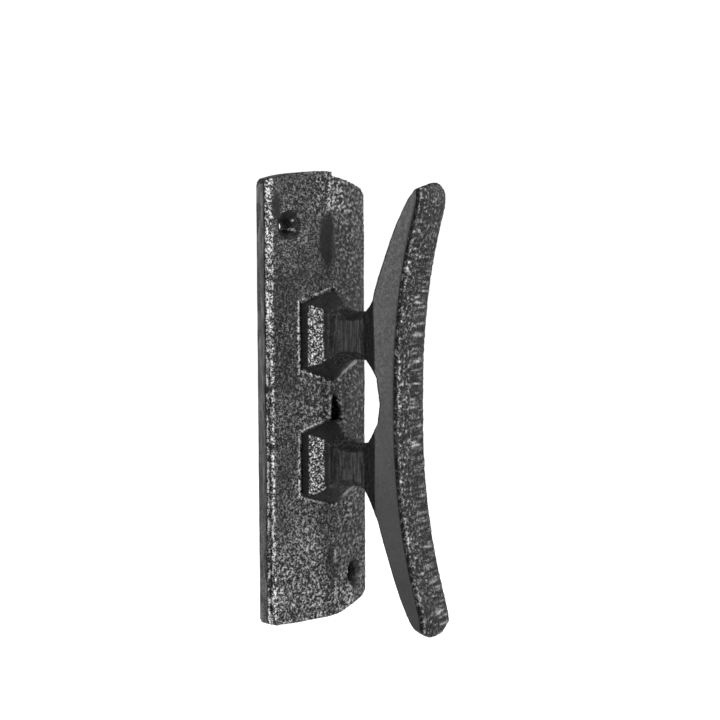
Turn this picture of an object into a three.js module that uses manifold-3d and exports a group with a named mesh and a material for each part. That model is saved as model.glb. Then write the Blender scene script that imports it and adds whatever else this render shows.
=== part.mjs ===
// Cleat horn: a cast-iron horn on two legs, screwed from behind to a ridged wall plate.
// Millimetres. X runs across the plate, Z along it, and the front faces -Y.
// The origin is the middle of the plate's flat back face.

import * as THREE from 'three';
import { mergeVertices } from 'three/addons/utils/BufferGeometryUtils.js';
import Module from 'manifold-3d';

const wasm = await Module();
wasm.setup();

// Back plate: a roof-shaped section, with arched ends and two screw holes for the wall.
const plateLength = 102;
const plateHalfWidth = 16.8;
const plateSideHeight = 2.35;
const plateBevelWidth = 0.9;
const plateBevelHeight = 1.75;
const ridgeHeight = 8.1;
// The two halves of the mould met on the ridge line, and the left one stands higher at the top.
const plateHalves = {
  left: { side: -1, topShift: 1.15, topArch: 2.6, bottomArch: 0.3, cornerRadius: 1.4 },
  right: { side: 1, topShift: 0, topArch: 2.3, bottomArch: 1.7, cornerRadius: 3.2 },
};

// Each hole is drilled square to its own facet, where its centre is stated.
const wallHoles = [
  { x: -11.55, z: 39.4, countersinkRadius: 3.3 },
  { x: 9.65, z: -42.8, countersinkRadius: 3.5 },
];
const wallHoleRadius = 1.85;

// Horn: a bar 10.6 mm wide whose tips curve away from the wall.
const hornHalfWidth = 5.3;
const hornTop = 48.1;
const hornBottom = -50.6;
// Drop of each tip's outline from its highest point, which is at X = crest, to its corners.
const hornTips = {
  upper: { crest: 1.6, leftDrop: 1.9, leftPower: 1.3, rightDrop: 2.4, rightPower: 2.5 },
  lower: { crest: 0, leftDrop: 2.5, leftPower: 2.4, rightDrop: 2.5, rightPower: 2.4 },
};
const hornTipEase = 2.1;
const hornTipEaseLength = 6;
const hornFront = 30.45;
const hornFrontRise = 5.9;
const hornFrontSpan = 42.5;
const hornFrontPower = 2.35;
const hornCrown = 0.35;
const hornEdgeEase = 0.35;
const hornLeastDepth = 1;
const hornSpareLength = 1;
// [Distance along the arm, distance from the wall] of the bar's back, from the middle to a tip.
const hornBacks = {
  upper: [
    [0, 25.7],
    [5, 24.85],
    [10, 24.25],
    [21, 23.75],
    [25, 24.3],
    [31.4, 26.85],
    [37.8, 29.65],
    [42, 32],
    [44.8, 33.8],
    [46.6, 35.7],
  ],
  lower: [
    [0, 25.7],
    [5, 24.85],
    [10, 24.25],
    [21, 24.1],
    [26.4, 25.1],
    [33.2, 27.6],
    [39.9, 30.25],
    [44.4, 32.35],
    [47.3, 34],
    [49.2, 35.9],
  ],
};

// Legs: each stands on the ridge, flares into a foot and is drafted towards both sides.
const legs = {
  upper: { middle: 14.7, neck: 5.7, foot: 10.8, outerFlare: 0.45, innerFlare: 0.15 },
  lower: { middle: -14.6, neck: 5.2, foot: 10.2, outerFlare: 1, innerFlare: 0.6 },
};
const footRightHalfWidth = 8;
const footRightDrop = 0.9;
const legRidgeEase = 0.12;
// Stations out from the wall: the half-width, the share of the flare from neck to foot on the
// ridge line, the half-height at the sides, and how far the fillet into the bar has grown. Each
// leg takes its own shares of that fillet, towards the tip (outer) and the middle (inner).
const legStations = [
  { out: 4.6, side: 9.35, flare: 1.06, edge: 7.6, fillet: 0 },
  { out: 8, side: 8.95, flare: 1, edge: 7.15, fillet: 0 },
  { out: 8.25, side: 8.6, flare: 0.98, edge: 7, fillet: 0 },
  { out: 9.3, side: 6.95, flare: 0.87, edge: 6.45, fillet: 0 },
  { out: 10, side: 5.8, flare: 0.73, edge: 5.85, fillet: 0 },
  { out: 10.8, side: 5.35, flare: 0.54, edge: 5.1, fillet: 0 },
  { out: 11.8, side: 5, flare: 0.28, edge: 4.5, fillet: 0 },
  { out: 13, side: 4.7, flare: 0.1, edge: 3.95, fillet: 0 },
  { out: 14.6, side: 4.4, flare: 0.01, edge: 3.6, fillet: 0 },
  { out: 17, side: 4, flare: 0, edge: 3.5, fillet: 0 },
  { out: 19, side: 3.9, flare: 0.02, edge: 3.8, fillet: 0.3 },
  { out: 20.6, side: 4.15, flare: 0.1, edge: 4.6, fillet: 0.8 },
  { out: 22, side: 4.5, flare: 0.3, edge: 5.7, fillet: 1.2 },
  { out: 23.2, side: 4.95, flare: 0.6, edge: 6.5, fillet: 1.7 },
  { out: 24.4, side: 5.25, flare: 0.95, edge: 7.8, fillet: 2.2 },
  { out: 25.6, side: 5.28, flare: 1, edge: 9.4, fillet: 2.6 },
];

// Countersunk screws from behind, one into each foot.
const seatGap = 0.3;
const screwHeadRadius = 4.3;
const screwHeadTop = 0.3;
const screwShankRadius = 2.2;
const screwTip = 14.6;
const screwTipBevel = 0.5;
const screwSlotWidth = 1.2;
const screwSlotDepth = 1.2;
const tappedHoleDepth = 15.2;

const roundSteps = 40;
const archSteps = 14;
const profileSteps = 64;
const overrun = 4;

const blackIron = { color: 0x232425, roughness: 0.42, metalness: 0.55 };
const screwSteel = { color: 0x5c5e61, roughness: 0.38, metalness: 0.9 };

function solidFrom(geometry) {
  geometry.deleteAttribute('normal');
  geometry.deleteAttribute('uv');
  const merged = mergeVertices(geometry, 1e-4);
  const mesh = new wasm.Mesh({
    numProp: 3,
    vertProperties: new Float32Array(merged.attributes.position.array),
    triVerts: new Uint32Array(merged.index.array),
  });
  return new wasm.Manifold(mesh);
}

function geometryFrom(solid) {
  const mesh = solid.getMesh();
  const geometry = new THREE.BufferGeometry();
  geometry.setAttribute('position', new THREE.BufferAttribute(new Float32Array(mesh.vertProperties), 3));
  geometry.setIndex(new THREE.BufferAttribute(new Uint32Array(mesh.triVerts), 1));
  return geometry;
}

// A section in X and Y, carried along Z.
function alongZ(shape, low, high) {
  const geometry = new THREE.ExtrudeGeometry(shape, { depth: high - low, bevelEnabled: false });
  geometry.translate(0, 0, low);
  return solidFrom(geometry);
}

// A front view in X and Z, carried outwards from the wall.
function outFromWall(shape, distance) {
  const geometry = new THREE.ExtrudeGeometry(shape, { depth: distance, bevelEnabled: false });
  geometry.rotateX(Math.PI / 2);
  return solidFrom(geometry);
}

// A turned profile of [radius, distance from the wall], from the wall outwards.
function turnedGeometry(profile) {
  const points = profile.map(([radius, out]) => new THREE.Vector2(radius, -out)).reverse();
  return new THREE.LatheGeometry(points, roundSteps);
}

// The same as a solid on the ridge line, at one height.
function turnedOnRidge(profile, z) {
  const geometry = turnedGeometry(profile);
  geometry.translate(0, 0, z);
  return solidFrom(geometry);
}

// A closed body through rings that all have the same number of points.
function loft(rings) {
  const count = rings[0].length;
  const positions = rings.flat().flatMap((point) => point.toArray());
  const index = [];
  for (let ring = 0; ring + 1 < rings.length; ring += 1) {
    for (let i = 0; i < count; i += 1) {
      const low = ring * count + i;
      const lowNext = ring * count + ((i + 1) % count);
      index.push(low, lowNext, lowNext + count);
      index.push(low, lowNext + count, low + count);
    }
  }
  const last = (rings.length - 1) * count;
  for (let i = 1; i + 1 < count; i += 1) {
    index.push(0, i + 1, i);
    index.push(last, last + i, last + i + 1);
  }
  const geometry = new THREE.BufferGeometry();
  geometry.setAttribute('position', new THREE.Float32BufferAttribute(positions, 3));
  geometry.setIndex(index);
  return solidFrom(geometry);
}

// The roof section of the plate, grown outwards by a clearance.
function roofSection(clearance) {
  const half = plateHalfWidth + clearance;
  const shape = new THREE.Shape();
  shape.moveTo(-half, overrun * Math.sign(clearance));
  shape.lineTo(half, overrun * Math.sign(clearance));
  shape.lineTo(half, -plateSideHeight - clearance);
  shape.lineTo(half - plateBevelWidth, -plateSideHeight - plateBevelHeight - clearance);
  shape.lineTo(0, -ridgeHeight - clearance);
  shape.lineTo(plateBevelWidth - half, -plateSideHeight - plateBevelHeight - clearance);
  shape.lineTo(-half, -plateSideHeight - clearance);
  shape.closePath();
  return shape;
}

// Drop of an arched end at a distance across from its middle, with the corner rounded off.
function archedEnd(across, halfWidth, rise, cornerRadius) {
  const arch = -rise * (across / halfWidth) ** 2;
  const intoCorner = across - (halfWidth - cornerRadius);
  if (intoCorner <= 0) {
    return arch;
  }
  return arch - cornerRadius + Math.sqrt(Math.max(cornerRadius ** 2 - intoCorner ** 2, 0));
}

// Half of the plate's front view, from the ridge line outwards.
function plateHalfOutline({ side, topShift, topArch, bottomArch, cornerRadius }) {
  const inner = -side * overrun;
  const across = Array.from({ length: archSteps + 1 }, (unused, i) => (
    plateHalfWidth * Math.sin((i / archSteps) * (Math.PI / 2))
  ));
  const end = (x, arch) => plateLength / 2 + archedEnd(x, plateHalfWidth, arch, cornerRadius);
  const shape = new THREE.Shape();
  shape.moveTo(inner, -plateLength / 2);
  across.forEach((x) => shape.lineTo(side * x, -end(x, bottomArch)));
  across.reverse().forEach((x) => shape.lineTo(side * x, end(x, topArch) + topShift));
  shape.lineTo(inner, plateLength / 2 + topShift);
  shape.closePath();
  return shape;
}

// One side of the plate's section, from the ridge line outwards.
function halfSpace(side) {
  const shape = new THREE.Shape();
  shape.moveTo(0, overrun);
  shape.lineTo(side * plateHalfWidth * 2, overrun);
  shape.lineTo(side * plateHalfWidth * 2, -ridgeHeight - overrun);
  shape.lineTo(0, -ridgeHeight - overrun);
  shape.closePath();
  return alongZ(shape, -plateLength, plateLength);
}

const facetSlope = (ridgeHeight - plateSideHeight - plateBevelHeight) / (plateHalfWidth - plateBevelWidth);

function wallHole({ x, z, countersinkRadius }) {
  const coneDepth = countersinkRadius - wallHoleRadius;
  const geometry = turnedGeometry([
    [0, -ridgeHeight - overrun],
    [wallHoleRadius, -ridgeHeight - overrun],
    [wallHoleRadius, -coneDepth],
    [countersinkRadius + overrun, overrun],
    [0, overrun],
  ]);
  geometry.rotateZ(Math.atan(facetSlope) * Math.sign(x));
  geometry.translate(x, facetSlope * Math.abs(x) - ridgeHeight, z);
  return solidFrom(geometry);
}

// The room that one screw needs in the plate: its countersink and a clear hole.
function screwRoom(z) {
  const headDepth = screwHeadRadius - screwShankRadius;
  const profile = [
    [0, -overrun],
    [screwHeadRadius + seatGap, -overrun],
    [screwHeadRadius + seatGap, screwHeadTop],
    [screwShankRadius + seatGap, screwHeadTop + headDepth],
    [screwShankRadius + seatGap, ridgeHeight + overrun],
    [0, ridgeHeight + overrun],
  ];
  return turnedOnRidge(profile, z);
}

function backPlate() {
  const section = alongZ(roofSection(0), -plateLength, plateLength);
  const [left, right] = Object.values(plateHalves).map((half) => (
    outFromWall(plateHalfOutline(half), ridgeHeight + overrun).intersect(halfSpace(half.side))
  ));
  let plate = section.intersect(left.add(right));
  wallHoles.forEach((hole) => {
    plate = plate.subtract(wallHole(hole));
  });
  Object.values(legs).forEach(({ middle }) => {
    plate = plate.subtract(screwRoom(middle));
  });
  return plate;
}

function hornFrontAt(z) {
  const tip = z < 0 ? -hornBottom : hornTop;
  const intoTip = Math.max(Math.abs(z) - tip + hornTipEaseLength, 0) / hornTipEaseLength;
  const curve = hornFrontRise * (Math.abs(z) / hornFrontSpan) ** hornFrontPower;
  return hornFront + curve - hornTipEase * intoTip ** 2;
}

function backPoints(table) {
  const curve = new THREE.SplineCurve(table.map(([along, out]) => new THREE.Vector2(along, out)));
  return curve.getPoints(profileSteps);
}

const hornBackPoints = { upper: backPoints(hornBacks.upper), lower: backPoints(hornBacks.lower) };

function hornBackAt(z) {
  const points = z < 0 ? hornBackPoints.lower : hornBackPoints.upper;
  const reach = Math.abs(z);
  const next = points.findIndex((point) => point.x >= reach);
  if (next < 0) {
    const last = points[points.length - 1];
    return last.y + (reach - last.x);
  }
  if (next === 0) {
    return points[0].y;
  }
  const [a, b] = [points[next - 1], points[next]];
  return a.y + ((b.y - a.y) * (reach - a.x)) / (b.x - a.x);
}

// The bar's section at one height, seen from above: eased edges and a slightly crowned front.
function hornRing(z) {
  const front = hornFrontAt(z);
  const back = Math.min(hornBackAt(z), front - hornLeastDepth);
  const half = hornHalfWidth;
  const ease = hornEdgeEase;
  const outline = [
    [-half + ease, back],
    [-half, back + ease],
    [-half, front - hornCrown - ease],
    [-half + ease, front - hornCrown],
    [-half / 2, front - hornCrown / 4],
    [0, front],
    [half / 2, front - hornCrown / 4],
    [half - ease, front - hornCrown],
    [half, front - hornCrown - ease],
    [half, back + ease],
    [half - ease, back],
  ];
  return outline.map(([x, out]) => new THREE.Vector3(x, -out, z));
}

function tipDrop(x, { crest, leftDrop, leftPower, rightDrop, rightPower }) {
  if (x < crest) {
    return leftDrop * ((crest - x) / (crest + hornHalfWidth)) ** leftPower;
  }
  return rightDrop * ((x - crest) / (hornHalfWidth - crest)) ** rightPower;
}

// The bar's front view, with a rounded tip at each end and a little wider than the bar.
function hornOutline() {
  const across = Array.from({ length: archSteps * 2 + 1 }, (unused, i) => (
    (hornHalfWidth + hornEdgeEase) * Math.sin((i / archSteps - 1) * (Math.PI / 2))
  ));
  const lower = across.map((x) => new THREE.Vector2(x, hornBottom + tipDrop(x, hornTips.lower)));
  const upper = across.map((x) => new THREE.Vector2(x, hornTop - tipDrop(x, hornTips.upper)));
  return new THREE.Shape([...lower, ...upper.reverse()]);
}

// The bar is lofted a little too long, and its front view cuts it to length.
function hornBar() {
  const [low, high] = [hornBottom - hornSpareLength, hornTop + hornSpareLength];
  const rings = Array.from({ length: profileSteps + 1 }, (unused, i) => (
    hornRing(THREE.MathUtils.lerp(low, high, i / profileSteps))
  ));
  return loft(rings).intersect(outFromWall(hornOutline(), hornFront * 2));
}

// One leg's section at a station, seen from the front: tallest on the ridge line, lower at the
// sides, and lowest at the foot's upper right corner.
function legRing({ out, side, flare, edge, fillet }, { middle, neck, foot, outerFlare, innerFlare }) {
  const tall = THREE.MathUtils.lerp(neck, foot, flare);
  const low = edge * THREE.MathUtils.lerp(neck / legs.upper.neck, 1, flare);
  const right = Math.min(side, footRightHalfWidth);
  const eased = THREE.MathUtils.lerp(tall, low, legRidgeEase);
  const rightTop = low - footRightDrop * THREE.MathUtils.smoothstep(side, legs.upper.neck, right);
  const fillets = [fillet * outerFlare, fillet * innerFlare];
  const [above, below] = middle > 0 ? fillets : fillets.reverse();
  const outline = [
    [right, rightTop + above],
    [right * legRidgeEase, eased + above],
    [-side * legRidgeEase, eased + above],
    [-side, low + above],
    [-side, -low - below],
    [-side * legRidgeEase, -eased - below],
    [right * legRidgeEase, -eased - below],
    [right, -low - below],
  ];
  return outline.map(([x, z]) => new THREE.Vector3(x, -out, middle + z));
}

function hornLeg(leg) {
  return loft(legStations.map((station) => legRing(station, leg)));
}

function tappedHole(z) {
  const radius = screwShankRadius + seatGap;
  return turnedOnRidge([[0, 0], [radius, 0], [radius, tappedHoleDepth], [0, tappedHoleDepth]], z);
}

function horn() {
  const seat = alongZ(roofSection(seatGap), -plateLength, plateLength);
  let body = hornBar();
  Object.values(legs).forEach((leg) => {
    body = body.add(hornLeg(leg).subtract(seat).subtract(tappedHole(leg.middle)));
  });
  return body;
}

function footScrew() {
  const headDepth = screwHeadRadius - screwShankRadius;
  const profile = [
    [0, screwHeadTop],
    [screwHeadRadius, screwHeadTop],
    [screwShankRadius, screwHeadTop + headDepth],
    [screwShankRadius, screwTip - screwTipBevel],
    [screwShankRadius - screwTipBevel, screwTip],
    [0, screwTip],
  ];
  const slot = new THREE.BoxGeometry(screwHeadRadius * 2 + overrun, screwSlotDepth * 2, screwSlotWidth);
  slot.translate(0, -screwHeadTop, 0);
  return turnedOnRidge(profile, 0).subtract(solidFrom(slot));
}

function part(name, solid, finish) {
  const mesh = new THREE.Mesh(geometryFrom(solid), new THREE.MeshStandardMaterial(finish));
  mesh.name = name;
  return mesh;
}

const cleatHorn = new THREE.Group();
cleatHorn.add(part('back_plate', backPlate(), blackIron));
cleatHorn.add(part('horn', horn(), blackIron));
Object.entries(legs).forEach(([which, { middle }]) => {
  const screw = part(`${which}_foot_screw`, footScrew(), screwSteel);
  screw.position.z = middle;
  cleatHorn.add(screw);
});

export default cleatHorn;
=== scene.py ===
"""A cleat horn in black-painted cast iron, in a pale studio.

The mesh code works in millimetres on the part's own axes: X across the plate, Z along it, and
OUT away from the wall, which is -Y.
"""

import math

import bmesh
import bpy
import numpy as np
from mathutils import Matrix, Vector, noise


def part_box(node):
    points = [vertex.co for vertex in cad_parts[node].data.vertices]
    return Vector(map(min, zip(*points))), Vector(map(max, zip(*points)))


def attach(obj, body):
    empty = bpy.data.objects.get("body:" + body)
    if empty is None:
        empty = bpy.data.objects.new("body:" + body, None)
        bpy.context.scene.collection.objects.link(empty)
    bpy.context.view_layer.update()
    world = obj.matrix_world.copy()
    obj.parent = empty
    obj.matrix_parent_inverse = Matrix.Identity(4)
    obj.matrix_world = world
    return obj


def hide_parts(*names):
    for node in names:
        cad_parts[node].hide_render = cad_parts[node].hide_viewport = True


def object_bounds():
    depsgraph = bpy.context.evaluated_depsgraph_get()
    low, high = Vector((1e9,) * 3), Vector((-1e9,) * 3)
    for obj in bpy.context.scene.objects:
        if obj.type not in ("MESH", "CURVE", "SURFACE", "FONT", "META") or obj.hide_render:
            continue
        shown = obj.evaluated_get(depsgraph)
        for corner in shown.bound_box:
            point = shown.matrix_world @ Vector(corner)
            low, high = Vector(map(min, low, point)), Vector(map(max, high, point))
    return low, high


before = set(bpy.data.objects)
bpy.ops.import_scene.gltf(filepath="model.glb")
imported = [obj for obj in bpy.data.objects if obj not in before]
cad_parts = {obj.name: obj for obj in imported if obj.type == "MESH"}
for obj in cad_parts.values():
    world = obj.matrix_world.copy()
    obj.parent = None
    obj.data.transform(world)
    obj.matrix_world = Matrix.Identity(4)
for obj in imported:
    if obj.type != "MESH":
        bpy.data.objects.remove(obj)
cad_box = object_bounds()

MM = 0.001

# Mesh fineness, in mm, and the most triangles that a finished casting keeps.
PLATE_VOXEL = 0.22
HORN_VOXEL = 0.2
SCREW_VOXEL = 0.12
MOST_TRIANGLES = 190_000
# Smoothing passes after the remesh, and those that round the horn's tips and its feet's corners.
PLATE_SMOOTHING = 2
HORN_SMOOTHING = 3
SCREW_SMOOTHING = 2
ROUNDING_PASSES = 30
# Faces whose normal points this straight at the wall belong to the flat back.
FACES_WALL = 0.999

# The plate's section, in mm, as its CAD solid has it.
PLATE_LOW, PLATE_HIGH = (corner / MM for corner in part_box("back_plate"))
PLATE_HALF_WIDTH = PLATE_HIGH.x
RIDGE_OUT = -PLATE_LOW.y
RIM_OUT = 2.35
BEVEL_WIDTH = 0.9
BEVEL_OUT = RIM_OUT + 1.75
FACET_SLOPE = (RIDGE_OUT - BEVEL_OUT) / (PLATE_HALF_WIDTH - BEVEL_WIDTH)

# Each foot's outline on the plate: its middle height and its half-heights on the ridge and at its
# sides, and how far the feet reach to the left and to the right.
FEET = ((14.7, 11.1, 7.6), (-14.6, 10.5, 7.4))
FOOT_LEFT, FOOT_RIGHT = 9.35, 8.0
# How much of a distance along Z beyond a foot's slanting end is square to that end.
FOOT_END_SQUARE = 0.93

# The two holes for the wall's screws: where each meets its facet, and its countersink's radius.
WALL_HOLES = (((-11.55, 39.4), 3.3), ((9.65, -42.8), 3.5))
# Dross fills them from one depth to another, up to this share of the bore's radius.
DROSS_FROM, DROSS_TO = 1.2, 4
DROSS_SHARE = 0.42

# The blow-hole's pocket beside the ridge, and how far its left side leans over towards its top.
POCKET_LOW, POCKET_HIGH = -6.5, 1.0
POCKET_LEFT, POCKET_RIGHT = -0.85, 3.9
POCKET_DEPTH = 3.2
POCKET_LEAN = 0.55
POCKET_RINGS = 17
POCKET_SIDES = 24

# Where the plate's skin is smooth, with painted shade on it: middle, half-size, and how smooth it
# is.
SMOOTH_PATCHES = (
    ((-1.5, 36.4), (2.9, 7.4), 1),
    ((-1.1, -38.5), (1.6, 6), 0.7),
    ((-14.9, 43.6), (1.5, 3.6), 1),
)
# Where it is rougher, with painted highlights on its grain: from, to and softness across, and the
# same along Z.
ROUGH_PATCHES = (((-9, 2.5, 1.5), (-4, 6, 2)), ((-4.5, 4, 1), (44, 51, 1.5)))
# Raised lines beside the ridge, with painted highlights: middle, width, extent along Z, softness
# and strength.
RIDGE_LINES = (
    (0.25, 0.4, -48.3, -42.6, 0.5, 1),
    (0.25, 0.4, -38.3, -35.8, 0.5, 1),
    (0.25, 0.4, 44, 51, 1, 0.8),
    (-1.15, 0.25, -3.4, 0.2, 0.5, 1),
    (-1.05, 0.3, 43.5, 50.5, 1, 0.8),
)
# Two glints on the upper countersink's edge, and their size.
GLINTS = ((-9.75, 40.7), (-9.5, 38.6))
GLINT_SIZE = 0.3

# Relief of the plate, in mm.
PLATE_GRAIN = 0.19
PLATE_SWELL = 0.1
RIM_WAVES = 0.05
RIDGE_WIDTH, RIDGE_EASING = 0.7, 0.14
LINE_HEIGHT = 0.12
CREASE_DEPTH = 0.18
GROOVE_DEPTH = 0.16

# The horn's box, half its bar's width, and its relief, in mm.
HORN_LOW, HORN_HIGH = (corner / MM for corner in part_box("horn"))
HORN_HALF_WIDTH = 5.3
HORN_GRAIN = 0.2
HORN_SWELL = 0.06
MARK_DEPTH = 0.17
EDGE_DEPTH = 0.12
# The rubbed line along its left front edge, which also carries a painted highlight: how far in from
# the side, and its width.
WORN_HIGHLIT_LINE = (1.3, 0.35)

# Noises: size in mm, octaves and seed.
PLATE_PATCHY, HORN_PATCHY = (9, 3, 1), (7, 3, 11)
PLATE_COARSE, HORN_COARSE = (0.95, 2, 2), (0.72, 2, 12)
PLATE_MEDIUM, HORN_MEDIUM = (0.5, 1, 3), (0.42, 1, 13)
PLATE_BROAD, HORN_BROAD = (14, 2, 4), (12, 2, 14)
RIM_WAVE = (1.2, 2, 5)
RAGGED_BEAD = (1.6, 2, 6)
RIGHT_DOTS = (0.62, 2, 7)
UPRIGHT_GRAIN = (0.5, 1, 8)
GRINDING = (0.62, 2, 15)
BROKEN_EDGE = (2.2, 2, 16)
# Scales that draw a noise out along Z, across the bar, or across the right facet.
ALONG_PLATE = np.array([1, 1, 0.3])
ACROSS_BAR = np.array([0.12, 0.3, 1])
ACROSS_FACET = np.array([0.5, 1, 1])


# ---------------------------------------------------------------- mesh helpers


def ramp(values, low, high):
    """0 up to low, 1 from high on, and smooth between them."""
    share = np.clip((values - low) / (high - low), 0, 1)
    return share * share * (3 - 2 * share)


def band(values, low, high, soft):
    """1 from low to high, falling to 0 over soft on either side."""
    return ramp(values, low - soft, low) * (1 - ramp(values, high, high + soft))


def bump(values, middle, width):
    """1 at the middle, falling away over about width on either side."""
    return np.exp(-(((values - middle) / width) ** 2))


def oval(across, along, middle, half, soft=0.4):
    """1 inside an oval patch, falling to 0 at its edge."""
    reach = np.hypot((across - middle[0]) / half[0], (along - middle[1]) / half[1])
    return 1 - ramp(reach, 1 - soft, 1)


def lumps(places, size, octaves, seed):
    """Fractal noise around 0 whose broadest lumps are about size mm across."""
    shift = Vector((seed * 31.7, seed * 17.9, seed * 23.3))
    scaled = (places / size).tolist()
    return np.array([noise.fractal(Vector(place) + shift, 1.0, 2.0, octaves) for place in scaled])


def bake_modifiers(piece):
    """Replaces a piece's mesh by what its modifiers make of it."""
    depsgraph = bpy.context.evaluated_depsgraph_get()
    mesh = bpy.data.meshes.new_from_object(piece.evaluated_get(depsgraph))
    piece.modifiers.clear()
    piece.data = mesh


def add_smoothing(piece, passes):
    smooth = piece.modifiers.new("smooth", "SMOOTH")
    smooth.factor = 0.5
    smooth.iterations = passes
    return smooth


def remeshed(name, node, voxel, smoothing, cutters=()):
    """A copy of a CAD node's solid in fine even faces, with its edges a little eased."""
    piece = bpy.data.objects.new(name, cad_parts[node].data.copy())
    bpy.context.scene.collection.objects.link(piece)
    for cutter in cutters:
        cut = piece.modifiers.new("cut", "BOOLEAN")
        cut.operation = "DIFFERENCE"
        cut.solver = "EXACT"
        cut.object = cutter
    remesh = piece.modifiers.new("remesh", "REMESH")
    remesh.mode = "VOXEL"
    remesh.voxel_size = voxel * MM
    add_smoothing(piece, smoothing)
    bake_modifiers(piece)
    for cutter in cutters:
        bpy.data.objects.remove(cutter)
    return piece


def round_off(piece, weights):
    """Smooths a mesh further, more where the weights are higher."""
    group = piece.vertex_groups.new(name="round_off")
    for index in np.nonzero(weights > 0.01)[0].tolist():
        group.add([index], float(weights[index]), "REPLACE")
    add_smoothing(piece, ROUNDING_PASSES).vertex_group = group.name
    bake_modifiers(piece)
    piece.vertex_groups.clear()


def read_mesh(piece):
    """A mesh's vertex places, in mm, and its normals, as two arrays."""
    mesh = piece.data
    places = np.empty(len(mesh.vertices) * 3, np.float32)
    normals = np.empty(len(mesh.vertices) * 3, np.float32)
    mesh.vertices.foreach_get("co", places)
    mesh.vertex_normals.foreach_get("vector", normals)
    return places.reshape(-1, 3).astype(float) / MM, normals.reshape(-1, 3).astype(float)


def write_mesh(piece, places):
    piece.data.vertices.foreach_set("co", (places * MM).astype(np.float32).ravel())
    piece.data.update()


def store(piece, name, values):
    """Keeps one number per vertex for the material."""
    attribute = piece.data.attributes.new(name, "FLOAT", "POINT")
    attribute.data.foreach_set("value", values.astype(np.float32))


def thin_out(piece):
    """Thins a mesh where it is flat, and shades it smooth but for the back that faces the wall."""
    triangles = sum(len(polygon.vertices) - 2 for polygon in piece.data.polygons)
    if triangles > MOST_TRIANGLES:
        thin = piece.modifiers.new("thin", "DECIMATE")
        thin.ratio = MOST_TRIANGLES / triangles
        bake_modifiers(piece)
    for polygon in piece.data.polygons:
        polygon.use_smooth = polygon.normal.y < FACES_WALL


def finish_piece(piece, node, material):
    """Gives a piece its material and ties it to the frame."""
    piece.data.materials.clear()
    piece.data.materials.append(material)
    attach(piece, "root")
    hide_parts(node)


def solid_from_rings(name, rings):
    """A closed solid through rings of points, in mm, with a flat face at each end."""
    mesh = bpy.data.meshes.new(name)
    shape = bmesh.new()
    loops = [[shape.verts.new(point * MM) for point in ring] for ring in rings]
    count = len(rings[0])
    for lower, upper in zip(loops, loops[1:]):
        for i in range(count):
            j = (i + 1) % count
            shape.faces.new((lower[i], lower[j], upper[j], upper[i]))
    shape.faces.new(list(reversed(loops[0])))
    shape.faces.new(loops[-1])
    bmesh.ops.recalc_face_normals(shape, faces=shape.faces)
    shape.to_mesh(mesh)
    shape.free()
    solid = bpy.data.objects.new(name, mesh)
    bpy.context.scene.collection.objects.link(solid)
    return solid


# ---------------------------------------------------------------- materials

# The iron's paint. Lightness of the pits, and what grain, wear with painted highlights, and rim
# streaks add to it at most.
PIT_LIGHT = 0.012
GRAIN_LIGHT = 0.26
WEAR_AND_HIGHLIGHT_LIGHT = 0.62
STREAK_LIGHT = 0.04
BLUE_CAST = 1.02
# What is left of the lightness where shade is painted, and of the gloss where the paint is dull.
PAINTED_SHADE_LIGHT, DULL_GLOSS = 0.2, 0.3
DULL_ROUGHNESS = 0.35
# Speckle sizes, and the height of the relief too fine for the mesh, in mm.
FINE_SPECKLE = 0.34
BROAD_SPECKLE = 6
DRAWN_SPECKLE = 0.5
RIPPLE_SPECKLE = 1.6
FINE_RELIEF = 0.11


def new_material(name):
    material = bpy.data.materials.new(name)
    material.use_nodes = True
    nodes = material.node_tree.nodes
    nodes.clear()
    output = nodes.new("ShaderNodeOutputMaterial")
    shader = nodes.new("ShaderNodeBsdfPrincipled")
    material.node_tree.links.new(shader.outputs[0], output.inputs[0])
    return material, shader


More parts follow.
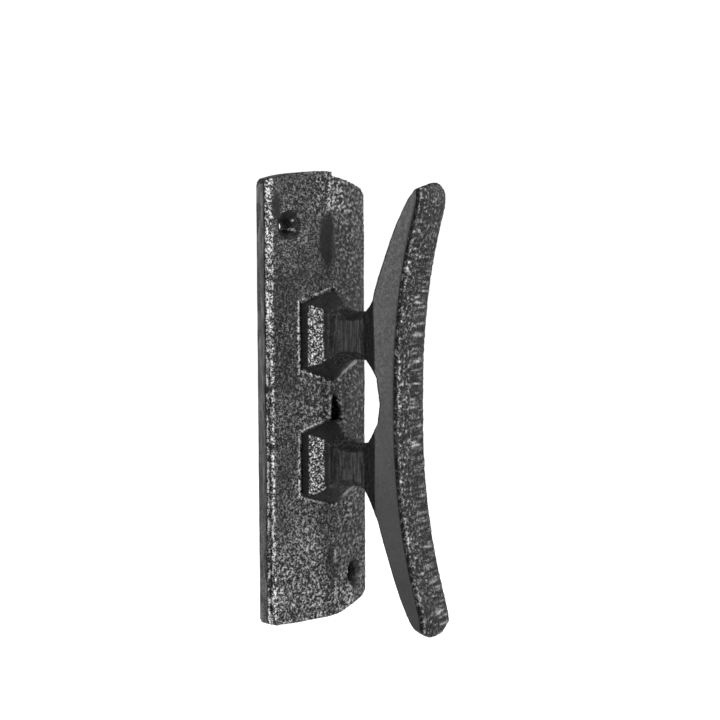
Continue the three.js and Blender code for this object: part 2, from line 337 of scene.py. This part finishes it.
def painted_iron(name):
    """Black paint over cast iron: dark in the pits, greyer and glossier on the rubbed tops, with
    painted highlights and painted shade laid into its lightness.
    """
    material, shader = new_material(name)
    nodes = material.node_tree.nodes
    link = material.node_tree.links.new

    def attribute(which):
        node = nodes.new("ShaderNodeAttribute")
        node.attribute_name = which
        return node.outputs["Fac"]

    def math_node(operation, *inputs):
        node = nodes.new("ShaderNodeMath")
        node.operation = operation
        for socket, entry in zip(node.inputs, inputs):
            if isinstance(entry, (int, float)):
                socket.default_value = entry
            else:
                link(entry, socket)
        return node.outputs[0]

    def add(first, second):
        return math_node("ADD", first, second)

    def times(first, second):
        return math_node("MULTIPLY", first, second)

    def ranged(entry, low, high, to_low, to_high):
        node = nodes.new("ShaderNodeMapRange")
        link(entry, node.inputs[0])
        for socket, number in zip(node.inputs[1:5], (low, high, to_low, to_high)):
            socket.default_value = number
        return node.outputs[0]

    def speckle(size, detail, stretch=(1, 1, 1)):
        """Noise from 0 to 1 with lumps of about size mm."""
        coordinates = nodes.new("ShaderNodeTexCoord")
        mapping = nodes.new("ShaderNodeMapping")
        mapping.inputs["Scale"].default_value = stretch
        texture = nodes.new("ShaderNodeTexNoise")
        texture.inputs["Scale"].default_value = 1 / (size * MM)
        texture.inputs["Detail"].default_value = detail
        link(coordinates.outputs["Object"], mapping.inputs["Vector"])
        link(mapping.outputs[0], texture.inputs["Vector"])
        return texture.outputs["Fac"]

    height = attribute("height")
    grain = attribute("grain")
    wear_and_highlight = attribute("wear_and_highlight")
    streaks = attribute("streaks")
    shade_and_dull = attribute("shade_and_dull")
    fineness = attribute("fineness")
    fine = ranged(speckle(FINE_SPECKLE, 2), 0.38, 0.62, 0, 1)
    broad = speckle(BROAD_SPECKLE, 3)
    drawn = speckle(DRAWN_SPECKLE, 2, stretch=(1, 1, 0.12))

    # Colour: black in the pits and grey on the tops of the grain, brightest where it is rubbed and
    # where highlights are painted, darker where shade is painted.
    fine_share = times(fineness, 0.5)
    coarse_share = math_node("SUBTRACT", 1, fine_share)
    relief = add(times(height, coarse_share), times(fine, fine_share))
    tops = ranged(relief, 0.47, 0.88, 0, 1)
    grain_light = times(times(tops, grain), GRAIN_LIGHT)
    wear_and_highlight_tops = ranged(relief, 0.4, 0.8, 0, 1)
    wear_and_highlight_light = times(times(wear_and_highlight_tops, wear_and_highlight), WEAR_AND_HIGHLIGHT_LIGHT)
    streak_light = times(times(ranged(drawn, 0.35, 0.65, -1, 1), streaks), STREAK_LIGHT)
    lightness = add(add(grain_light, wear_and_highlight_light), add(streak_light, PIT_LIGHT))
    lightness = times(lightness, ranged(broad, 0.3, 0.7, 0.75, 1.25))
    # Painted shade darkens the colour where this attribute is high.
    lightness = times(lightness, ranged(shade_and_dull, 0, 1, 1, PAINTED_SHADE_LIGHT))
    colour = nodes.new("ShaderNodeCombineColor")
    link(lightness, colour.inputs[0])
    link(lightness, colour.inputs[1])
    link(times(lightness, BLUE_CAST), colour.inputs[2])
    link(colour.outputs[0], shader.inputs["Base Color"])

    # Gloss: pits are matt and tops are shiny.
    roughness = add(ranged(relief, 0.25, 0.75, 0.5, 0.3), times(shade_and_dull, DULL_ROUGHNESS))
    link(roughness, shader.inputs["Roughness"])
    pit_gloss = ranged(relief, 0.2, 0.5, 0.2, 0.5)
    gloss = math_node("MAXIMUM", ranged(grain, 0, 0.6, 0.5, 0), pit_gloss)
    link(times(gloss, ranged(shade_and_dull, 0, 1, 1, DULL_GLOSS)), shader.inputs["Specular IOR Level"])

    # Relief too fine for the mesh.
    ripple = times(speckle(RIPPLE_SPECKLE, 2), 0.3)
    bumps = add(times(times(fine, grain), fineness), ripple)
    bumps = add(bumps, times(times(drawn, streaks), 0.6))
    fine_relief = nodes.new("ShaderNodeBump")
    fine_relief.inputs["Strength"].default_value = 1
    fine_relief.inputs["Distance"].default_value = FINE_RELIEF * MM
    link(bumps, fine_relief.inputs["Height"])
    link(fine_relief.outputs[0], shader.inputs["Normal"])
    return material


def brushed_steel(name):
    """Dull turned steel in two greys."""
    speckle_size = 0.4
    scratch_depth = 0.02
    dark, light = (0.16, 0.16, 0.165, 1), (0.34, 0.34, 0.35, 1)
    material, shader = new_material(name)
    nodes = material.node_tree.nodes
    link = material.node_tree.links.new
    coordinates = nodes.new("ShaderNodeTexCoord")
    texture = nodes.new("ShaderNodeTexNoise")
    texture.inputs["Scale"].default_value = 1 / (speckle_size * MM)
    texture.inputs["Detail"].default_value = 3
    link(coordinates.outputs["Object"], texture.inputs["Vector"])
    tone = nodes.new("ShaderNodeValToRGB")
    for stop, position, grey in zip(tone.color_ramp.elements, (0.3, 0.7), (dark, light)):
        stop.position = position
        stop.color = grey
    link(texture.outputs["Fac"], tone.inputs[0])
    link(tone.outputs[0], shader.inputs["Base Color"])
    rough = nodes.new("ShaderNodeMapRange")
    rough.inputs["To Min"].default_value = 0.28
    rough.inputs["To Max"].default_value = 0.5
    link(texture.outputs["Fac"], rough.inputs[0])
    link(rough.outputs[0], shader.inputs["Roughness"])
    scratches = nodes.new("ShaderNodeBump")
    scratches.inputs["Distance"].default_value = scratch_depth * MM
    link(texture.outputs["Fac"], scratches.inputs["Height"])
    link(scratches.outputs[0], shader.inputs["Normal"])
    shader.inputs["Metallic"].default_value = 1
    return material


# ---------------------------------------------------------------- the plate


def blow_hole():
    """A pocket left by trapped gas beside the ridge, just above the lower foot."""
    rings = []
    for step in range(POCKET_RINGS):
        share = step / (POCKET_RINGS - 1)
        z = POCKET_LOW + (POCKET_HIGH - POCKET_LOW) * share
        taper = math.sqrt(max(1 - share ** 1.8, 0.003))
        edge_left = POCKET_LEFT + POCKET_LEAN * share
        edge_right = edge_left + (POCKET_RIGHT - POCKET_LEFT) * taper
        ring = []
        for i in range(POCKET_SIDES):
            turn = 2 * math.pi * i / POCKET_SIDES
            across = (edge_left + edge_right) / 2 + (edge_right - edge_left) / 2 * math.cos(turn)
            out = RIDGE_OUT + POCKET_DEPTH * math.sqrt(taper) * math.sin(turn)
            ring.append(Vector((across, -out, z)))
        rings.append(ring)
    return solid_from_rings("blow_hole", rings)


def narrow_holes(places):
    """Narrows the screw holes towards the wall. Returns where they are hollow, and where deep."""
    hollow = np.zeros(len(places))
    deep = np.zeros(len(places))
    for (x, z), radius in WALL_HOLES:
        tilt = math.atan(FACET_SLOPE) * math.copysign(1, x)
        axis = np.array([math.sin(tilt), -math.cos(tilt), 0])
        mouth = np.array([x, FACET_SLOPE * abs(x) - RIDGE_OUT, z])
        from_mouth = places - mouth
        along = from_mouth @ axis
        radial = from_mouth - along[:, None] * axis
        reach = np.linalg.norm(radial, axis=1)
        inside = (1 - ramp(reach, radius - 0.35, radius + 0.1)) * (1 - ramp(along, -0.25, 0.1))
        hollow = np.maximum(hollow, inside)
        deep = np.maximum(deep, inside * ramp(-along, 0.7, 1.4))
        bore = (1 - ramp(reach, 2.05, 2.5)) * ramp(-along, DROSS_FROM, DROSS_TO)
        bore *= ramp(-places[:, 1], 0.02, 0.3)
        places -= radial * (bore * DROSS_SHARE)[:, None]
    return hollow, deep


def distance_to_feet(x, z):
    """How far a point of the plate lies outside the nearer foot's outline, in mm."""
    nearest = np.full(len(x), math.inf)
    across = np.where(x < 0, -x / FOOT_LEFT, x / FOOT_RIGHT)
    beside = np.where(x < 0, -x - FOOT_LEFT, x - FOOT_RIGHT)
    for middle, tall, low in FEET:
        half = tall + (low - tall) * np.clip(across, 0, 1)
        beyond = (np.abs(z - middle) - half) * FOOT_END_SQUARE
        nearest = np.minimum(nearest, np.maximum(beside, beyond))
    return nearest


def plate_casting(material):
    piece = remeshed("plate_casting", "back_plate", PLATE_VOXEL, PLATE_SMOOTHING, [blow_hole()])
    places, normals = read_mesh(piece)
    hollow, deep = narrow_holes(places)
    x, out, z = places[:, 0].copy(), -places[:, 1], places[:, 2].copy()
    side = np.abs(x)

    # Regions of the surface, each from 0 to 1.
    behind = ramp(normals[:, 1], 0.2, 0.7)
    seen = 1 - behind
    right = ramp(x, 0, 1)
    rim = ramp(side, PLATE_HALF_WIDTH - 0.5, PLATE_HALF_WIDTH - 0.15)
    rim *= 1 - ramp(out, RIM_OUT - 0.1, RIM_OUT + 0.25)
    bevel = ramp(side, PLATE_HALF_WIDTH - BEVEL_WIDTH - 0.4, PLATE_HALF_WIDTH - BEVEL_WIDTH)
    bevel *= ramp(out, RIM_OUT, RIM_OUT + 0.4) * seen
    ends = ramp(np.abs(normals[:, 2]), 0.5, 0.8)
    below_feet = ramp(-z, 22, 30)
    # The flat back is thinned to long faces, so its values are the same all over.
    on_back = 1 - ramp(out, 0.15, 0.3)
    off_back = 1 - on_back

    patches = [share * oval(x, z, middle, half) for middle, half, share in SMOOTH_PATCHES]
    smooth_patches = np.maximum.reduce(patches)
    rough_skin = sum(band(x, *across) * band(z, *along) for across, along in ROUGH_PATCHES)
    rough_skin = np.clip(rough_skin, 0, 1)
    calm_left = ramp(-x, 8.5, 11) * (1 - bevel) * band(z, 4, 27, 4)
    calm_right = 0.9 * right * band(z, -16, 26, 5)
    calm = calm_left + calm_right

    # A lip runs round each foot, whole on its left and broken elsewhere.
    patchy = lumps(places, *PLATE_PATCHY)
    near_feet = distance_to_feet(x, z)
    unbroken = ramp(-x, 7, 8.5)
    bead = bump(near_feet, 0.06, 0.24)
    bead *= ramp(patchy + lumps(places, *RAGGED_BEAD) + unbroken, -0.5, 0.1)
    bead *= ramp(-normals[:, 1], 0.7, 0.9)
    ridge_line = sum(
        strength * bump(x, middle, width) * band(z, low, high, soft)
        for middle, width, low, high, soft, strength in RIDGE_LINES
    )

    # How strong the sand's grain is.
    grain = np.clip(0.85 + 0.5 * patchy, 0.3, 1.1)
    grain *= 1 - 0.92 * smooth_patches
    grain *= seen * (1 - 0.97 * rim) * (1 - 0.4 * ends) * (1 - 0.8 * hollow)
    grain *= 1 - 0.2 * calm - 0.4 * ramp(x, 7, 13)

    # The grain itself: even on the left facet, and in separate dots on the right one.
    dots = lumps(places * ACROSS_FACET, *RIGHT_DOTS)
    coarse = np.where(x > 0.5, dots, lumps(places, *PLATE_COARSE))
    medium = lumps(places, *PLATE_MEDIUM)
    texture = coarse * (0.5 + 0.75 * right) * (1 - 0.45 * below_feet * (1 - right))
    texture += medium * (0.95 - 0.5 * right)
    upright_grain = lumps(places * ALONG_PLATE, *UPRIGHT_GRAIN)
    texture += bevel * (1 - ramp(z, 22, 32)) * (upright_grain - 0.5 * medium)
    texture *= 1 + 0.25 * rough_skin + 0.3 * below_feet * (1 - right)

    # The seam where the rim turns into the bevel is a fine crease, and so is the bevel's middle
    # on the plate's lower part.
    crease = bump(out, RIM_OUT + 0.1, 0.24) * ramp(side, 16, 16.5)
    across_bevel = (out - RIM_OUT) / (BEVEL_OUT - RIM_OUT)
    doubled = 1 - ramp(z + 8 * patchy, 2, 26)
    groove = bump(across_bevel, 0.5, 0.2) * doubled * bevel

    lift = PLATE_GRAIN * grain * texture
    lift += PLATE_SWELL * lumps(places, *PLATE_BROAD) * seen
    lift += RIM_WAVES * lumps(places * ALONG_PLATE, *RIM_WAVE) * rim
    lift -= RIDGE_EASING * bump(x, 0, RIDGE_WIDTH) * seen
    lift += LINE_HEIGHT * (bead + ridge_line)
    lift -= CREASE_DEPTH * crease * np.clip(0.8 + 0.6 * patchy, 0, 1.2)
    lift -= GROOVE_DEPTH * bump(across_bevel, 0.5, 0.17) * doubled * bevel
    places += normals * lift[:, None]
    write_mesh(piece, np.clip(places, PLATE_LOW, PLATE_HIGH))

    # Where the paint is rubbed, together with painted highlights on the bevel, the bead and ridge
    # lines, the right facet's dots, the rough patches and the countersink's glints. The lower end
    # is made paler, and its very end is the palest.
    rubbed_and_highlit = bevel * np.clip(0.75 + 0.3 * doubled + 1.3 * texture, 0, 1) * (1 - 0.85 * groove)
    rubbed_and_highlit += 0.9 * (bead + ridge_line)
    rubbed_and_highlit += 0.4 * ramp(x, 0.5, 1.5) * ramp(dots, 0.25, 0.5) * grain * seen
    rubbed_and_highlit += 0.35 * rough_skin * ramp(texture, 0.1, 0.5)
    for glint_x, glint_z in GLINTS:
        rubbed_and_highlit += bump(np.hypot(x - glint_x, z - glint_z), 0, GLINT_SIZE)
    lower_end = ramp(-z, 22, 42) * (1 - rim) * seen * (1 - smooth_patches)
    rubbed_and_highlit += lower_end * np.where(x < 0, 0.16 + 0.36 * ramp(texture, 0, 0.5), 0.06)
    rubbed_and_highlit *= 1 - 0.85 * ends
    # Painted light brightens the rim's lower part.
    rubbed_and_highlit += 0.12 * rim * ramp(-z, 15, 40)
    rubbed_and_highlit += 1.1 * ramp(-z, 42, 46) * right * (x < 9) * seen

    # Painted shade, which also dulls the paint: in the holes and seams, in the pocket, under the
    # feet and on the smooth patches.
    pocket = oval(x, z, (1.4, -3.2), (2.9, 4.6)) * (1 - ramp(out, RIDGE_OUT - 1.6, RIDGE_OUT - 1))
    seat = (1 - ramp(near_feet, -0.6, -0.25)) * seen
    far_side = ramp(x, -10.6, -10) * (1 - ramp(rubbed_and_highlit, 0.2, 0.5))
    shadow = hollow * np.where(z < 0, 0.25 + 0.75 * deep, 0.15 + 0.5 * far_side)
    patch_shade = 0.35 * smooth_patches
    shade_and_dull = np.maximum.reduce([shadow, pocket, crease, groove * 0.8, seat, patch_shade])

    bright_lines = np.clip(bead + ridge_line, 0, 1)
    height = 0.5 + (0.75 * texture + 0.35 * bright_lines - 0.15 * calm) * off_back
    grain = np.clip(grain * (1 + 0.25 * below_feet), 0, 1.3)
    store(piece, "height", np.clip(height, 0, 1))
    store(piece, "grain", grain * off_back + 0.2 * on_back)
    store(piece, "wear_and_highlight", np.clip(rubbed_and_highlit, 0, 1) * off_back)
    store(piece, "streaks", np.clip(rim, 0, 1) * off_back)
    store(piece, "shade_and_dull", np.clip(shade_and_dull, 0, 1) * off_back)
    store(piece, "fineness", 1 - 0.3 * right * off_back)
    thin_out(piece)
    finish_piece(piece, "back_plate", material)


# ---------------------------------------------------------------- the horn


def ease_corners(piece):
    """Rounds the horn's tips and the outer corners of its feet."""
    places, _ = read_mesh(piece)
    side, out, z = np.abs(places[:, 0]), -places[:, 1], places[:, 2]
    tips = ramp(np.abs(z), 42.5, 46.5)
    corners = np.zeros(len(places))
    for middle, _, low in FEET:
        end = ramp(np.abs(z - middle), low - 2.6, low - 1.4)
        corners = np.maximum(corners, end * (1 - ramp(out, 12.5, 14)))
    round_off(piece, np.maximum(tips, corners * ramp(side, 4.5, 6.5)))


def behind_front(out, z):
    """How far each point lies behind the horn's foremost line at its own height, in mm."""
    first = math.floor(HORN_LOW.z)
    levels = np.round(z).astype(int) - first
    foremost = np.zeros(levels.max() + 1)
    np.maximum.at(foremost, levels, out)
    return np.interp(z - first, np.arange(len(foremost)), foremost) - out


def horn_casting(material):
    piece = remeshed("horn_casting", "horn", HORN_VOXEL, HORN_SMOOTHING)
    ease_corners(piece)
    places, normals = read_mesh(piece)
    # x and z are views of the places, so the masks made after the lift see it.
    x, out, z = places[:, 0], -places[:, 1], places[:, 2]
    outward = -normals[:, 1]
    sideways = np.abs(normals[:, 0])
    upright = np.abs(normals[:, 2])

    # Regions of the surface, each from 0 to 1.
    in_bar = ramp(out, 21.5, 23.5)
    in_foot = 1 - ramp(out, 10.6, 11.6)
    leg = (1 - in_bar) * (1 - in_foot)
    front = ramp(outward, 0.35, 0.8) * in_bar
    flank = ramp(sideways, 0.6, 0.9)
    shoulder = in_foot * band(sideways, 0.42, 0.75, 0.12) * ramp(outward, 0.55, 0.75)
    shoulder *= 1 - ramp(upright, 0.25, 0.45)
    # The fillets of the legs into the bar stay in shadow.
    fillet = flank * band(out, 19.6, 30, 0.9) * ramp(-outward, 0.06, 0.22) * (x < 0)

    # The right shoulder of each foot is as grainy as the plate. The feet's lower right edges and
    # the upper foot's top left one get painted highlights.
    foot_middle = np.where(z > 0, FEET[0][0], FEET[1][0])
    right_shoulder = (1 - ramp(out, 13, 14)) * ramp(x, -0.9, -0.2) * ramp(z - foot_middle, 0, 3)
    edge_highlight = ramp(x, 0, 0.6) * ramp(out, 8, 8.8) * (1 - ramp(out, 10.5, 11.2))
    edge_highlight *= band(z, 4, 8.6, 0.4)
    edge_highlight += 0.7 * band(x, 0, 5, 0.6) * band(out, 9.6, 12.2, 0.5) * band(z, -22.6, -20.2, 0.5)
    above_plate = out - (RIDGE_OUT - FACET_SLOPE * np.abs(x))
    edge_highlight += (1 - ramp(above_plate, 0.45, 0.7)) * band(x, -5, -1, 0.6) * ramp(z, 21, 22)

    # How strong the sand's grain is, and the grain itself.
    patchy = lumps(places, *HORN_PATCHY)
    grain = np.clip(0.35 + 0.3 * patchy, 0.1, 0.6)
    grain += front * np.clip(0.6 + 0.4 * patchy, 0, 0.8) + shoulder * 0.6
    grain *= 1 - 0.93 * flank * in_bar
    grain *= 1 - 0.7 * flank * leg
    grain *= 1 - 0.8 * (1 - shoulder) * in_foot
    grain = np.clip(np.maximum(grain, 0.9 * right_shoulder), 0, 1)
    grain *= 1 - 0.45 * ramp(z, 33, 38) * front
    texture = lumps(places, *HORN_COARSE) * (0.8 - 0.3 * shoulder)
    texture += lumps(places, *HORN_MEDIUM) * (0.6 + 0.3 * shoulder)

    # Grinding marks run across the front, mostly on its right half and below the upper tip.
    marks = lumps(places * ACROSS_BAR, *GRINDING)
    ground = front * ramp(x, -1.2, 0.6) * (1 - 0.75 * ramp(z, 30, 36)) * (1 - 0.3 * ramp(x, 3, 4.8))

    # The left front edge is rubbed bright and carries a painted highlight, with a hollow of painted
    # shade between it and the smooth side.
    from_edge = x + HORN_HALF_WIDTH
    near_front = np.maximum(ramp(outward, 0.12, 0.4), 1 - ramp(behind_front(out, z), 0.5, 0.8))
    turning = in_bar * (1 - ramp(from_edge, 0.6, 0.95)) * near_front
    edge_wear_and_highlight = bump(from_edge, *WORN_HIGHLIT_LINE) * front
    edge_wear_and_highlight *= np.clip(0.55 + 1.3 * lumps(places, *BROKEN_EDGE), 0, 1)

    lift = HORN_GRAIN * grain * texture * (1 - 0.6 * ground)
    lift += MARK_DEPTH * ground * marks
    lift += HORN_SWELL * lumps(places, *HORN_BROAD)
    lift -= EDGE_DEPTH * turning
    places += normals * lift[:, None]
    write_mesh(piece, np.clip(places, HORN_LOW, HORN_HIGH))

    # Where the paint is rubbed, together with painted highlights on the feet's shoulders, the
    # front's grain and the edges that shine.
    rubbed_and_highlit = shoulder * np.clip(0.55 + 1.1 * texture, 0, 1) + edge_wear_and_highlight
    rubbed_and_highlit += 0.5 * front * ramp(texture, 0.35, 0.7) * (1 - ground)
    rubbed_and_highlit += edge_highlight * np.clip(0.8 + texture, 0.3, 1)
    rubbed_and_highlit += 0.4 * ground * ramp(marks, 0.25, 0.6) * ramp(-x, -4.2, -2.6)

    # Painted shade, which also dulls the paint: on the feet's walls, the legs, and in the hollow
    # beside the front edge.
    foot_wall = in_foot * (1 - shoulder) * (0.8 - 0.4 * ramp(upright, 0.3, 0.7))
    foot_wall *= 1 - 0.4 * ramp(out, 9, 10.5) * ramp(x, -4, -2.5)
    leg_side = flank * leg * (0.4 + 0.4 * (1 - ramp(out, 11.5, 13.5)))
    leg_end = (1 - flank) * leg * np.where(z > foot_middle, 0.2, 0.25)
    shade_and_dull = np.maximum.reduce([turning * 0.85, foot_wall, fillet * 0.95, leg_side, leg_end])
    shade_and_dull *= 1 - np.clip(right_shoulder * 0.85 + edge_highlight, 0, 1)

    height = 0.42 + 0.75 * (texture * (1 - 0.5 * ground) + marks * 0.9 * ground)
    height += 0.55 * np.clip(edge_highlight, 0, 1) + 0.1 * edge_wear_and_highlight + 0.12 * right_shoulder
    store(piece, "height", np.clip(height, 0, 1))
    store(piece, "grain", grain)
    store(piece, "wear_and_highlight", np.clip(rubbed_and_highlit, 0, 1))
    store(piece, "streaks", np.clip(flank * leg, 0, 1))
    store(piece, "shade_and_dull", np.clip(shade_and_dull, 0, 1))
    store(piece, "fineness", 0.9 - 0.25 * front + 0.4 * shoulder)
    thin_out(piece)
    finish_piece(piece, "horn", material)


# ---------------------------------------------------------------- the foot screws


def foot_screw(which, material):
    """A countersunk machine screw with its edges eased."""
    node = f"{which}_foot_screw"
    piece = remeshed(f"{which}_machine_screw", node, SCREW_VOXEL, SCREW_SMOOTHING)
    piece.data.shade_smooth()
    finish_piece(piece, node, material)


# ---------------------------------------------------------------- studio

FLOOR_SIZE = 6
FLOOR_BELOW = 0.041
FLOOR_GLOW = 0.85

# Each light's azimuth left of straight ahead of the cleat, its elevation, how far away it is, its
# width and height, in metres, and its watts.
SOFT_BOXES = {
    "left_box": (78, 14, 0.6, (0.14, 0.3), 1.9),
    "front_box": (6, 16, 0.6, (0.12, 0.3), 1.5),
    "right_box": (-65, 14, 0.7, (0.22, 0.4), 0.85),
    "back_left_box": (132, -6, 0.7, (0.4, 0.9), 4.0),
    "top_box": (-30, 70, 0.7, (0.25, 0.25), 0.4),
}

# The backdrop as the camera sees it, the fill light, and the azimuth of its darker side, with how
# much of the fill is left there.
BACKDROP = 1.05
FILL = 0.26
SHADE_AZIMUTH = 48
SHADE_SHARE = 0.25

CAMERA_AZIMUTH = 50
CAMERA_ELEVATION = 3.475
CAMERA_DISTANCE = 0.2728
CAMERA_TARGET = Vector((0.0009, -0.0152, 0.0091))
CAMERA_LENS = 59.95
CAMERA_SENSOR = 36
CAMERA_ROLL = 0.227


def studio_floor(below):
    """A wide pale floor that looks as white as the backdrop, so that no horizon shows."""
    bpy.ops.mesh.primitive_plane_add(size=FLOOR_SIZE, location=(0, 0, below))
    floor = bpy.context.object
    floor.name = "studio_floor"
    material, shader = new_material("pale_floor")
    shader.inputs["Base Color"].default_value = (0.86, 0.86, 0.86, 1)
    shader.inputs["Roughness"].default_value = 0.9
    shader.inputs["Emission Color"].default_value = (1, 1, 1, 1)
    path = material.node_tree.nodes.new("ShaderNodeLightPath")
    seen = material.node_tree.nodes.new("ShaderNodeMath")
    seen.operation = "MULTIPLY"
    seen.inputs[1].default_value = FLOOR_GLOW
    material.node_tree.links.new(path.outputs["Is Camera Ray"], seen.inputs[0])
    material.node_tree.links.new(seen.outputs[0], shader.inputs["Emission Strength"])
    floor.data.materials.append(material)


def heading(azimuth, elevation):
    """The direction at an azimuth left of straight ahead of the cleat, and an elevation."""
    left, up = math.radians(azimuth), math.radians(elevation)
    return Vector((-math.sin(left) * math.cos(up), -math.cos(left) * math.cos(up), math.sin(up)))


def soft_box(name, azimuth, elevation, distance, size, power, target):
    data = bpy.data.lights.new(name, "AREA")
    data.shape = "RECTANGLE"
    data.size, data.size_y = size
    data.energy = power
    lamp = bpy.data.objects.new(name, data)
    bpy.context.scene.collection.objects.link(lamp)
    lamp.location = target + heading(azimuth, elevation) * distance
    lamp.rotation_euler = (lamp.location - target).to_track_quat("Z", "Y").to_euler()


def world_light():
    """White behind the object for the camera, and elsewhere a soft fill with one darker side."""
    world = bpy.data.worlds.new("studio")
    bpy.context.scene.world = world
    world.use_nodes = True
    nodes = world.node_tree.nodes
    link = world.node_tree.links.new
    nodes.clear()
    output = nodes.new("ShaderNodeOutputWorld")
    path = nodes.new("ShaderNodeLightPath")
    mix = nodes.new("ShaderNodeMixShader")
    backdrop = nodes.new("ShaderNodeBackground")
    backdrop.inputs["Strength"].default_value = BACKDROP
    soft = nodes.new("ShaderNodeBackground")
    coordinates = nodes.new("ShaderNodeTexCoord")
    along = nodes.new("ShaderNodeVectorMath")
    along.operation = "DOT_PRODUCT"
    along.inputs[1].default_value = heading(SHADE_AZIMUTH, 0)
    strength = nodes.new("ShaderNodeMapRange")
    strength.interpolation_type = "SMOOTHSTEP"
    for socket, number in zip(strength.inputs[1:5], (0.75, 0.95, FILL, FILL * SHADE_SHARE)):
        socket.default_value = number
    link(coordinates.outputs["Generated"], along.inputs[0])
    link(along.outputs["Value"], strength.inputs[0])
    link(strength.outputs[0], soft.inputs["Strength"])
    for background in (backdrop, soft):
        background.inputs["Color"].default_value = (1, 1, 1, 1)
    link(path.outputs["Is Camera Ray"], mix.inputs[0])
    link(soft.outputs[0], mix.inputs[1])
    link(backdrop.outputs[0], mix.inputs[2])
    link(mix.outputs[0], output.inputs[0])


def camera():
    data = bpy.data.cameras.new("camera")
    data.lens = CAMERA_LENS
    data.sensor_width = CAMERA_SENSOR
    data.clip_start = 0.01
    data.clip_end = 20
    eye = bpy.data.objects.new("camera", data)
    bpy.context.scene.collection.objects.link(eye)
    eye.location = CAMERA_TARGET + heading(CAMERA_AZIMUTH, CAMERA_ELEVATION) * CAMERA_DISTANCE
    facing = (CAMERA_TARGET - eye.location).to_track_quat("-Z", "Y").to_matrix().to_4x4()
    roll = Matrix.Rotation(math.radians(-CAMERA_ROLL), 4, "Z")
    eye.rotation_euler = (facing @ roll).to_euler()
    bpy.context.scene.camera = eye


iron = painted_iron("painted_iron")
steel = brushed_steel("screw_steel")
plate_casting(iron)
horn_casting(iron)
for which in ("upper", "lower"):
    foot_screw(which, steel)

studio_floor(cad_box[0].z - FLOOR_BELOW)
world_light()
middle = (cad_box[0] + cad_box[1]) / 2
for name, settings in SOFT_BOXES.items():
    soft_box(name, *settings, middle)
camera()
bpy.context.scene.view_settings.view_transform = "Standard"
